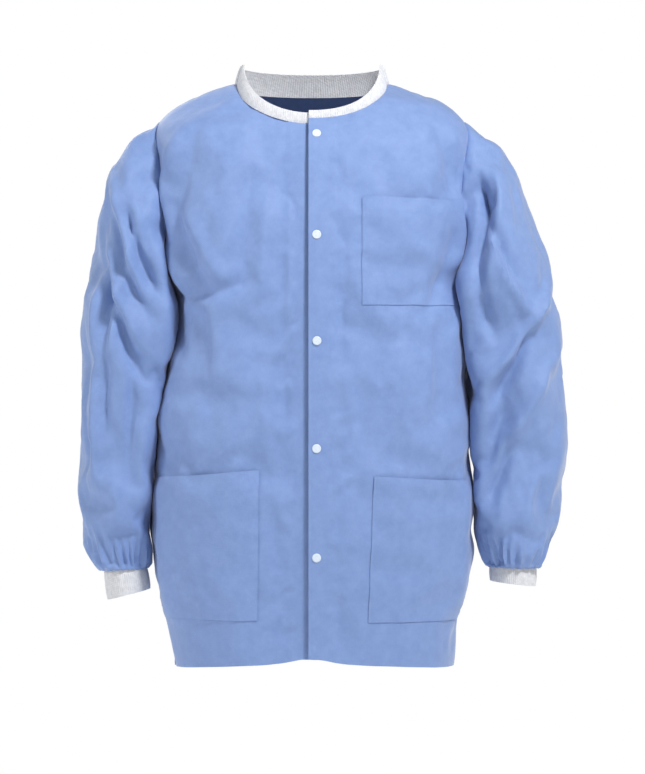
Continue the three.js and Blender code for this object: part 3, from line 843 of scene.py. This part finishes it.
def ring_point(ring, angle, pressed=0.0):
    """Point of a ring; angle 0 is its outer side and a quarter turn is its back."""
    outer_x, outer_z, inner_x, inner_z, y, depth = np.moveaxis(ring, -1, 0) / 1000
    square = 2 + pressed * smooth(-np.cos(angle) / 0.6)
    reach = (np.abs(np.cos(angle)) ** square + np.abs(np.sin(angle)) ** square) ** (-1 / square)
    across = (1 + reach * np.cos(angle)) / 2
    return np.stack([inner_x + (outer_x - inner_x) * across, y + depth * reach * np.sin(angle),
                     inner_z + (outer_z - inner_z) * across + HEM_Z], -1)


def armhole_point(angle, side):
    """Point of the armhole, at the same angles as the rings."""
    z = ARMHOLE_Z + ARMHOLE_HALF_HEIGHT * np.cos(angle)
    y = ARMHOLE_HALF_DEPTH * np.sin(angle)
    return np.stack([body_side_x(y, z, side), y, z + HEM_Z], -1)


def clear_of_body(grid, down, side):
    """A sleeve grid whose points stay off the side of the body and its folds."""
    y, z = grid[..., 1], grid[..., 2] - HEM_Z
    body_x = body_side_x(y, np.clip(z, 0, NECK_TOP), side)
    relief = body_relief(np.stack([side * body_x, y, grid[..., 2]], -1))
    short = body_x + relief + BODY_GAP - grid[..., 0]
    push = 0.5 * (short + np.sqrt(short**2 + 0.002**2)) * smooth(down / 0.05) * smooth((0.60 - z) / 0.1)
    moved = grid.copy()
    moved[..., 0] += push
    return moved


# line (x0, z0, x1, z1, bend), width, depth; x is measured out from the middle, on the front of a sleeve
SLEEVE_FOLDS = {
    1: [((206, 640, 192, 480, -14), 10, -11), ((226, 640, 206, 450, -12), 9, 7),
        ((212, 610, 262, 470, 8), 8, -6), ((216, 560, 292, 420, 10), 7, 6), ((206, 530, 232, 400, 6), 8, -8),
        ((302, 500, 210, 352, -12), 8, 8), ((278, 446, 214, 320, -8), 8, -8),
        ((304, 400, 224, 262, -8), 9, 6),
        ((242, 352, 203, 226, -6), 14, -7), ((252, 290, 214, 200, -4), 8, -5),
        ((310, 330, 290, 170, 6), 8, -3),
        ((296, 260, 262, 160, 4), 10, 3.5), ((230, 650, 268, 560, 8), 11, 3),
        ((206, 640, 222, 560, 4), 8, -4),
        ((252, 620, 284, 520, 5), 10, -2.5), ((276, 520, 304, 420, 5), 9, 2.5),
        ((244, 240, 236, 160, 3), 9, 3)],
    -1: [((236, 590, 180, 452, -6), 11, -10), ((248, 640, 200, 440, -8), 8, 7),
         ((258, 600, 196, 420, -8), 7, -6), ((214, 600, 256, 430, 8), 7, 4), ((266, 560, 206, 390, -8), 7, 6),
         ((240, 520, 266, 360, 6), 7, 5), ((262, 500, 204, 350, -5), 8, -7), ((258, 560, 262, 220, 3), 5, -5),
         ((270, 540, 276, 200, 4), 6, 6), ((238, 400, 244, 200, 6), 8, 4), ((222, 380, 230, 190, -4), 8, -4),
         ((212, 330, 224, 180, 4), 8, 3.5), ((284, 470, 288, 190, 3), 5, -4),
         ((226, 650, 252, 560, 8), 10, 3),
         ((206, 640, 216, 560, 3), 8, -4), ((262, 560, 276, 460, 4), 8, -3), ((256, 260, 244, 160, 3), 9, 3)]}
SLEEVE_GAIN = 1.4
GATHERS, GATHER_DEPTH = 24, 0.0024


def sleeve_relief(points, angle, down, side):
    """How far the folds push a sleeve out; down goes from 0 at the armhole to 1 at the cuff."""
    x, z = np.abs(points[..., 0]), points[..., 2] - HEM_Z
    front, back = smooth(-np.sin(angle) * 2.2 + 0.3), smooth(np.sin(angle) * 2.2 + 0.1)
    total = np.zeros(x.shape)
    for line, width, depth in SLEEVE_FOLDS[side]:
        total += SLEEVE_GAIN * front * crease(x, z, line, width, depth)
        mirrored = (line[0] - 6, line[1] - 30, line[2] - 4, line[3] - 20, -line[4])
        total += SLEEVE_GAIN * back * crease(x, z, mirrored, width * 1.1, depth * 0.8)
    total += crumple(points * np.array([1.3, 1.3, 0.8]) + side) * 1.2
    gather = np.cos(angle * GATHERS + 2.2 * np.sin(angle * 3) + side) + 0.5 * np.cos(angle * 13 - side)
    total += GATHER_DEPTH * gather * smooth((down - 0.8) / 0.14)
    start = smooth(down / (0.035 + 0.13 * smooth(np.cos(angle) * 1.5)))
    return total * start * (1 - 0.75 * smooth((down - 0.95) / 0.05))


# %% Sleeves
SLEEVE_COLUMNS, SLEEVE_ROWS = 64, 76
SLEEVE_BEND_START, SLEEVE_BEND_WAY, SLEEVE_BEND = (0.184, 0, -0.242), (0.6, 0, -0.8), 0.12


def sleeve_grid(side, angles, down):
    """The sleeve of one side, made on the wearer's left; the other is turned over afterwards."""
    rings = along_table(SLEEVE_RINGS[side], down[:, 0] * 10)[:, None]
    grid = ring_point(rings, angles, PRESSED * smooth(down / 0.15) * (1 - smooth((down - 0.7) / 0.22)))
    first = armhole_point(angles, side) - ring_point(SLEEVE_RINGS[side][None, :1, 1:], angles)
    grid = grid + first * (1 - smooth(down / 0.16))[..., None]
    out = grid_normals(grid, True)
    seam = np.exp(-(down / 0.008) ** 2) * SEAM_DIP
    push = sleeve_relief(grid * np.array([side, 1, 1]), angles, down, side) + CLOTH_FACE - seam
    return grid + out * push[..., None]


angles = np.linspace(0, 2 * np.pi, SLEEVE_COLUMNS, endpoint=False)[None, :]
down = np.concatenate([[0, 0.004], np.linspace(0.01, 0.99, SLEEVE_ROWS - 4), [0.996, 1]])[::-1, None]
fine_angles = np.linspace(0, 2 * np.pi, 2 * SLEEVE_COLUMNS, endpoint=False)[None, :]
for side, word in ((1, "left"), (-1, "right")):
    coarse = sleeve_grid(side, angles, down)
    held = np.full(coarse.shape[:2], FREE)
    held[:2] = held[-2:] = TIED
    move = settled_move(coarse, held, SLEEVE_SHARE, loop=True)
    fine_down = between(down, 0)
    turn_side = np.array([side, 1, 1])
    grid = clear_of_body(sleeve_grid(side, fine_angles, fine_down) + move, fine_down, side) * turn_side
    if side < 0:
        grid = grid[:, ::-1]
    piece, area = shell("sleeve_cloth_" + word, grid, CLOTH, cloth_finish, loop=True)
    start, way = np.array(SLEEVE_BEND_START) * turn_side, np.array(SLEEVE_BEND_WAY) * turn_side
    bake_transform(piece)
    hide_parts("sleeve_head_" + word, "sleeve_" + word)

# %% [markdown]
# ## Knit cuffs and collar
#
# Rib knit is a row of fine ridges. The ridges are real here: the band is a closed tube or strip whose
# outer face goes in and out once for each rib. A band is folded double, so its free edge is round.


# %% A band of ribs
def ribbed(foot, top, bulge, depth):
    """A grid from a foot line to a top line, whose columns go in and out; four columns make a rib."""
    count = foot.shape[0]
    t = np.linspace(0, 1, 9)[:, None, None]
    grid = foot[None] * (1 - t) + top[None] * t
    out = grid_normals(grid, False)
    wave = np.tile([0.0, 1.0, 1.0, 0.0], count // 4 + 1)[:count]
    share = t[..., 0]
    push = depth * wave[None, :] * (1 - 0.6 * np.abs(2 * share - 1) ** 6) + bulge * 4 * share * (1 - share)
    return grid + out * push[..., None]


# %% Cuffs
CUFF_COLUMNS, CUFF_THICKNESS = 280, 0.0016

angles = np.linspace(0, 2 * np.pi, CUFF_COLUMNS, endpoint=False)
for side, word in ((1, "left"), (-1, "right")):
    rows = [ring_point(np.broadcast_to(np.array(r, float), (CUFF_COLUMNS, 6)), angles)
            for r in (CUFF_ENDS[side], CUFF_TOPS[side])]
    rows[1][:, 2] += 0.008  # its top is hidden inside the sleeve
    grid = ribbed(rows[0], rows[1], 0.0012, 0.0006) * np.array([side, 1, 1])
    if side < 0:
        grid = grid[:, ::-1]
    piece, area = shell("knit_cuff_" + word, grid, CUFF_THICKNESS, knit_finish, loop=True)
    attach(piece, word + "_sleeve")
    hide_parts("cuff_" + word)

# %% Collar
COLLAR_RISE = (0.011, 0.026)  # at the centre front and at the sides
COLLAR_LEAN, COLLAR_THICKNESS, COLLAR_TUCK = 0.008, 0.0018, 0.003
COLLAR_END = {1: -0.004, -1: -0.002}  # x of the band's front ends, measured towards their own side


def collar_lines(turns, side, depth):
    """Foot and top of the band over turns: 0 at the centre front, half a turn at the centre back."""
    feet, tops = [], []
    for t in turns:
        if t <= math.pi / 2:
            x, z = NECK_HALF * math.sin(t), NECK_TOP - NECK_DROP * math.cos(t)
            around = around_at_x(x, z) if t < math.pi / 2 - 1e-6 else 1.0
        else:
            share = (math.pi - t) / (math.pi / 2)
            around, z = 2 - share, NECK_TOP - BACK_NECK_DROP * (1 - share * share)
        foot = body_point(around, z) - body_normal(around, z) * 0.0006
        under = 1 - float(smooth(math.sin(t) * 1.1)) if t < math.pi / 2 else 0
        foot = foot - body_normal(around, z) * depth * under
        inward = -foot * np.array([1, 1, 0])
        inward /= max(np.linalg.norm(inward), 1e-6)
        rise = COLLAR_RISE[0] + (COLLAR_RISE[1] - COLLAR_RISE[0]) * float(smooth((1 - math.cos(t)) * 1.05))
        lean = COLLAR_LEAN * rise / COLLAR_RISE[1]
        feet.append(foot - np.array([0, 0, COLLAR_TUCK]))
        tops.append(foot + np.array([0, 0, rise]) + inward * lean)
    turn_side = np.array([side, 1, 1])
    return np.array(feet) * turn_side, np.array(tops) * turn_side


def turns_between(first, last, spacing=0.0008):
    count = int((last - first) * 0.1 / spacing) // 4 * 4
    return np.linspace(first, last, count)


for side, word in ((1, "left"), (-1, "right")):
    turns = turns_between(math.asin(COLLAR_END[side] / NECK_HALF), math.pi / 2)
    foot, top = collar_lines(turns, side, UNDERLAP - 0.003 if side < 0 else 0)
    if side < 0:
        foot, top = foot[::-1], top[::-1]
    band = ribbed(foot, top, 0.001, 0.0006)
    piece, area = shell("knit_collar_" + word, band, COLLAR_THICKNESS, knit_finish)
    bend_with_front(piece)
    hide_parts("collar_front_" + word)

foot, top = collar_lines(turns_between(math.pi / 2, math.pi), 1, 0)
mirror = np.array([-1, 1, 1])
foot, top = (np.concatenate([line, line[-2::-1] * mirror]) for line in (foot, top))
piece, area = shell("knit_collar_back", ribbed(foot, top, 0.001, 0.0006), COLLAR_THICKNESS, knit_finish)
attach(piece, "root")
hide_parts("collar_back")

# %% [markdown]
# ## What lies on the fronts
#
# Facings and pockets are sewn to the fronts, so they take over the way the fronts have settled.

# %% Follow a front
from mathutils.kdtree import KDTree

NEAREST = 6
front_trees = {}
for side, (points, moves) in front_moves.items():
    tree_of_points = KDTree(len(points))
    for i, point in enumerate(points):
        tree_of_points.insert(point, i)
    tree_of_points.balance()
    front_trees[side] = tree_of_points


def following(grid, side):
    """A grid that has moved as the front beneath it has."""
    moves = front_moves[side][1]
    moved = grid.reshape(-1, 3).copy()
    for point in moved:
        found = front_trees[side].find_n(point, NEAREST)
        weights = np.array([1 / (far + 0.002) ** 2 for _, _, far in found])
        point += weights @ moves[[i for _, i, _ in found]] / weights.sum()
    return moved.reshape(grid.shape)


# %% [markdown]
# ## Facings
#
# Behind each front edge the cloth is turned back 35 mm. It is seen when the coat is open.

# %% Facings
FACING_LIFT = -0.0016

for side, word in ((1, "left"), (-1, "right")):
    edge = LEFT_EDGE if side > 0 else -RIGHT_EDGE
    rows = []
    for s in np.linspace(0, 1, 120):
        row = []
        for x in np.linspace(edge + 0.0005, edge + FACING_WIDTH, 12):
            z = 0.004 + s * (front_neck_z(x) - 0.008)
            row.append((around_at_x(x, z) * side, z))
        rows.append(row)
    places = np.array(rows)
    z = places[..., 1] + hem_rise(edge, places[..., 1])
    grid = following(on_coat(places[..., 0], z, FACING_LIFT, side), side)
    if side < 0:
        grid = grid[:, ::-1]
    piece, area = shell("facing_cloth_" + word, grid, CLOTH, cloth_finish)
    bend_with_front(piece)
    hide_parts("facing_" + word)

# %% [markdown]
# ## Pockets
#
# A patch pocket is sewn down on three sides and open at the top, where its hem is folded over. It
# lies on the folds of the front, and its mouth stands off by a few millimetres.

# %% Patch pockets
POCKET_LIFT, MOUTH_LIFT = 0.0011, 0.0042


def patch_pocket(name, corners, side, columns, rows):
    """corners are x and z, side positive: bottom inner, bottom outer, top outer and top inner."""
    (x0, z0), (x1, z1), (x2, z2), (x3, z3) = corners
    places, lift = np.zeros((rows, columns, 2)), np.zeros((rows, columns))
    for i, v in enumerate(seam_steps(rows, 0.01)):
        for j, u in enumerate(seam_steps(columns, 0.01)):
            x = (1 - v) * ((1 - u) * x0 + u * x1) + v * ((1 - u) * x3 + u * x2)
            z = (1 - v) * ((1 - u) * z0 + u * z1) + v * ((1 - u) * z3 + u * z2)
            places[i, j] = around_at_x(x / side_swell(z, side > 0), z) * side, z
            free = min(1, 5 * u, 5 * (1 - u))
            lift[i, j] = POCKET_LIFT + MOUTH_LIFT * free * max(0, v - 0.35) / 0.65
    hem = seam_steps(rows, 0.01)[:, None]
    lift += 0.0005 * smooth((hem - 0.86) / 0.02)
    grid = following(on_coat(places[..., 0], places[..., 1], lift, side), side)
    if side < 0:
        grid = grid[:, ::-1]
    piece, area = shell(name, grid, CLOTH, cloth_finish)
    bend_with_front(piece)
    return piece, area


CHEST_POCKET = (0.062, 0.455), (0.182, 0.455), (0.183, 0.586), (0.062, 0.588)
chest, area = patch_pocket("chest_pocket", CHEST_POCKET, 1, 44, 48)
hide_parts("chest_pocket_inner", "chest_pocket_outer")
POCKETS = {1: ((0.070, 0.062), (0.193, 0.062), (0.194, 0.236), (0.076, 0.243)),
           -1: ((0.068, 0.064), (0.190, 0.064), (0.192, 0.240), (0.066, 0.250))}
for side, word in ((1, "left"), (-1, "right")):
    piece, area = patch_pocket("lower_pocket_" + word, POCKETS[side], side, 50, 60)
    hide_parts("lower_pocket_inner_" + word, "lower_pocket_outer_" + word)

# %% [markdown]
# ## Snaps
#
# Each snap is four moulded parts: a cap outside and a socket inside the left front, a stud on the
# right front and a post behind it. One of each is modelled and copied to the five places.

# %% One snap part by extruding a disc
SNAP_SIDES = 32


def turned_part(name, steps):
    """A round part from (distance out, radius) steps: a disc that is extruded and scaled for each step."""
    bpy.ops.object.select_all(action="DESELECT")
    first = steps[0]
    bpy.ops.mesh.primitive_circle_add(vertices=SNAP_SIDES, radius=first[1], fill_type="NGON",
                                      location=(0, 0, first[0]))
    part = bpy.context.object
    part.name = name
    bpy.ops.object.transform_apply(location=True, rotation=False, scale=False)
    bpy.ops.object.mode_set(mode="EDIT")
    bpy.ops.mesh.select_all(action="SELECT")
    for (out, radius), (next_out, next_radius) in zip(steps, steps[1:]):
        bpy.ops.mesh.extrude_region_move(TRANSFORM_OT_translate={"value": (0, 0, next_out - out)})
        grow = next_radius / radius
        bpy.ops.transform.resize(value=(grow, grow, 1), center_override=(0, 0, next_out))
    bpy.ops.mesh.select_all(action="SELECT")
    bpy.ops.mesh.normals_make_consistent(inside=False)
    bpy.ops.object.mode_set(mode="OBJECT")
    rounding = part.modifiers.new("rounding", "BEVEL")
    rounding.width, rounding.segments, rounding.limit_method = 0.00022, 2, "ANGLE"
    rounding.angle_limit = math.radians(35)
    bpy.ops.object.modifier_apply(modifier=rounding.name)
    part.data.materials.append(plastic_finish)
    finish_edges(part, 40)
    return part


MM = 0.001
CAP_STEPS = [(1.0, 5.2), (1.25, 5.6), (2.3, 5.35), (2.75, 4.3), (2.55, 3.6), (2.6, 2.0), (2.75, 1.0)]
SOCKET_STEPS = [(-1.1, 4.6), (-1.6, 4.7), (-1.7, 3.9), (-4.6, 3.6), (-4.6, 2.1), (-3.0, 2.0)]
STUD_STEPS = [(-6.55, 4.6), (-6.1, 4.5), (-6.0, 1.7), (-5.2, 1.5), (-4.7, 1.75), (-4.2, 1.3), (-4.1, 0.5)]
POST_STEPS = [(-8.5, 5.0), (-8.9, 5.1), (-9.5, 4.4), (-9.8, 2.8), (-9.9, 1.2)]


def place_copies(part, steps_name, body):
    """A copy of a snap part at each snap, standing on the cloth, with its own mesh."""
    for i, z in enumerate(SNAP_HEIGHTS):
        around = around_at_x(SNAP_X, z)
        seat, out = body_point(around, z), body_normal(np.array(around), np.array(z))
        copy = part.copy()
        copy.data = part.data.copy()
        copy.name = copy.data.name = f"{part.name}_{i + 1}"
        bpy.context.scene.collection.objects.link(copy)
        turn = Vector((0, 0, 1)).rotation_difference(Vector(out)).to_matrix().to_4x4()
        turn.translation = Vector(seat)
        copy.data.transform(turn)
        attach(copy, body)
        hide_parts(f"{steps_name}_{i + 1}")
    bpy.data.objects.remove(part)


for name, steps, body in (("cap", CAP_STEPS, "left_front"), ("socket", SOCKET_STEPS, "left_front"),
                          ("stud", STUD_STEPS, "right_front"), ("post", POST_STEPS, "right_front")):
    part = turned_part("moulded_" + name, [(out * MM, radius * MM) for out, radius in steps])
    print("moulded", name, len(part.data.polygons), "faces")
    place_copies(part, "snap_" + name, body)
